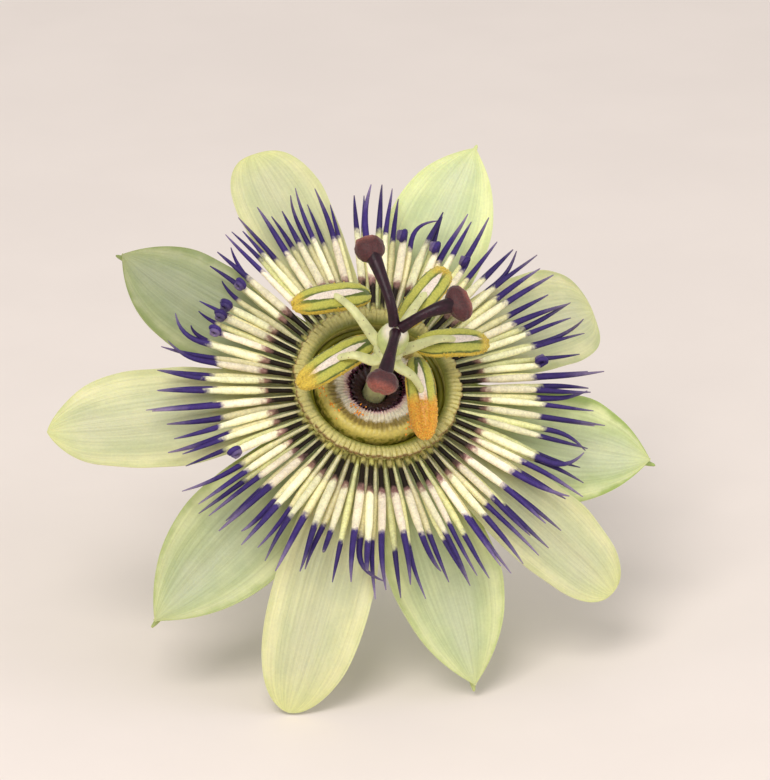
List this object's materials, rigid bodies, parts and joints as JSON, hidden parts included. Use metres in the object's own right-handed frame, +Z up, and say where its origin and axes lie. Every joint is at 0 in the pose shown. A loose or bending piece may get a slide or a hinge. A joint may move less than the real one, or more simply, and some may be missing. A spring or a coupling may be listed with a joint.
{
  "type": "passion flower",
  "caption": "Picked passion flower: pale sepals and petals, banded filament corona, raised column with stamens, ovary and dark styles, lying on its tips and cut stalk",
  "frame": {"origin": "middle of the bounding box in X and Y, at the surface that the flower lies on", "axes": "+Z up from that surface; X runs across the flower from tip to tip and is the longest extent; the flower's face looks towards -Y and 50 degrees upwards, and the cut stalk runs back towards +Y"},
  "size_m": [0.0898, 0.0694, 0.0659],
  "materials": {
    "stalk": "fresh green stalk, faint lengthwise ribs, satin",
    "bract": "thin pale green bract with darker veins, satin",
    "cup": "fleshy green cup, paler inside, satin",
    "sepal": "greenish white above, green with a keel beneath, fine lengthwise veins, satin",
    "petal": "creamy white with a green-yellow cast and fine lengthwise veins, satin",
    "corona_ray": "filaments banded dark purple at the base, cream in the middle and blue-violet at the tip",
    "pali": "very dark purple, satin",
    "operculum": "pleated yellow-green to cream membrane with a dark purple fringe",
    "column": "smooth pale green, faintly spotted purple, satin",
    "anther": "olive and yellow-green with a cream back and orange pollen, matt",
    "ovary": "smooth pale yellow-green with a waxy bloom",
    "style": "dark purple-black, smooth, satin",
    "stigma": "dark red-brown knob with a grainy, slightly moist face"
  },
  "bodies": {
    "root": {"stalk": "stalk", "bract_1": "bract", "bract_2": "bract", "bract_3": "bract", "floral_cup": "cup", "sepal_1": "sepal", "sepal_2": "sepal", "sepal_3": "sepal", "sepal_4": "sepal", "sepal_5": "sepal", "petal_1": "petal", "petal_2": "petal", "petal_3": "petal", "petal_4": "petal", "petal_5": "petal", "corona_outer": "corona_ray", "corona_inner": "corona_ray", "corona_pali": "pali", "operculum": "operculum", "limen": "pali", "androgynophore": "column", "stamen_filament_1": "column", "stamen_filament_2": "column", "stamen_filament_3": "column", "stamen_filament_4": "column", "stamen_filament_5": "column", "anther_1": "anther", "anther_2": "anther", "anther_3": "anther", "anther_4": "anther", "anther_5": "anther", "ovary": "ovary", "style_1": "style", "style_2": "style", "style_3": "style", "stigma_1": "stigma", "stigma_2": "stigma", "stigma_3": "stigma"}
  },
  "joints": []
}
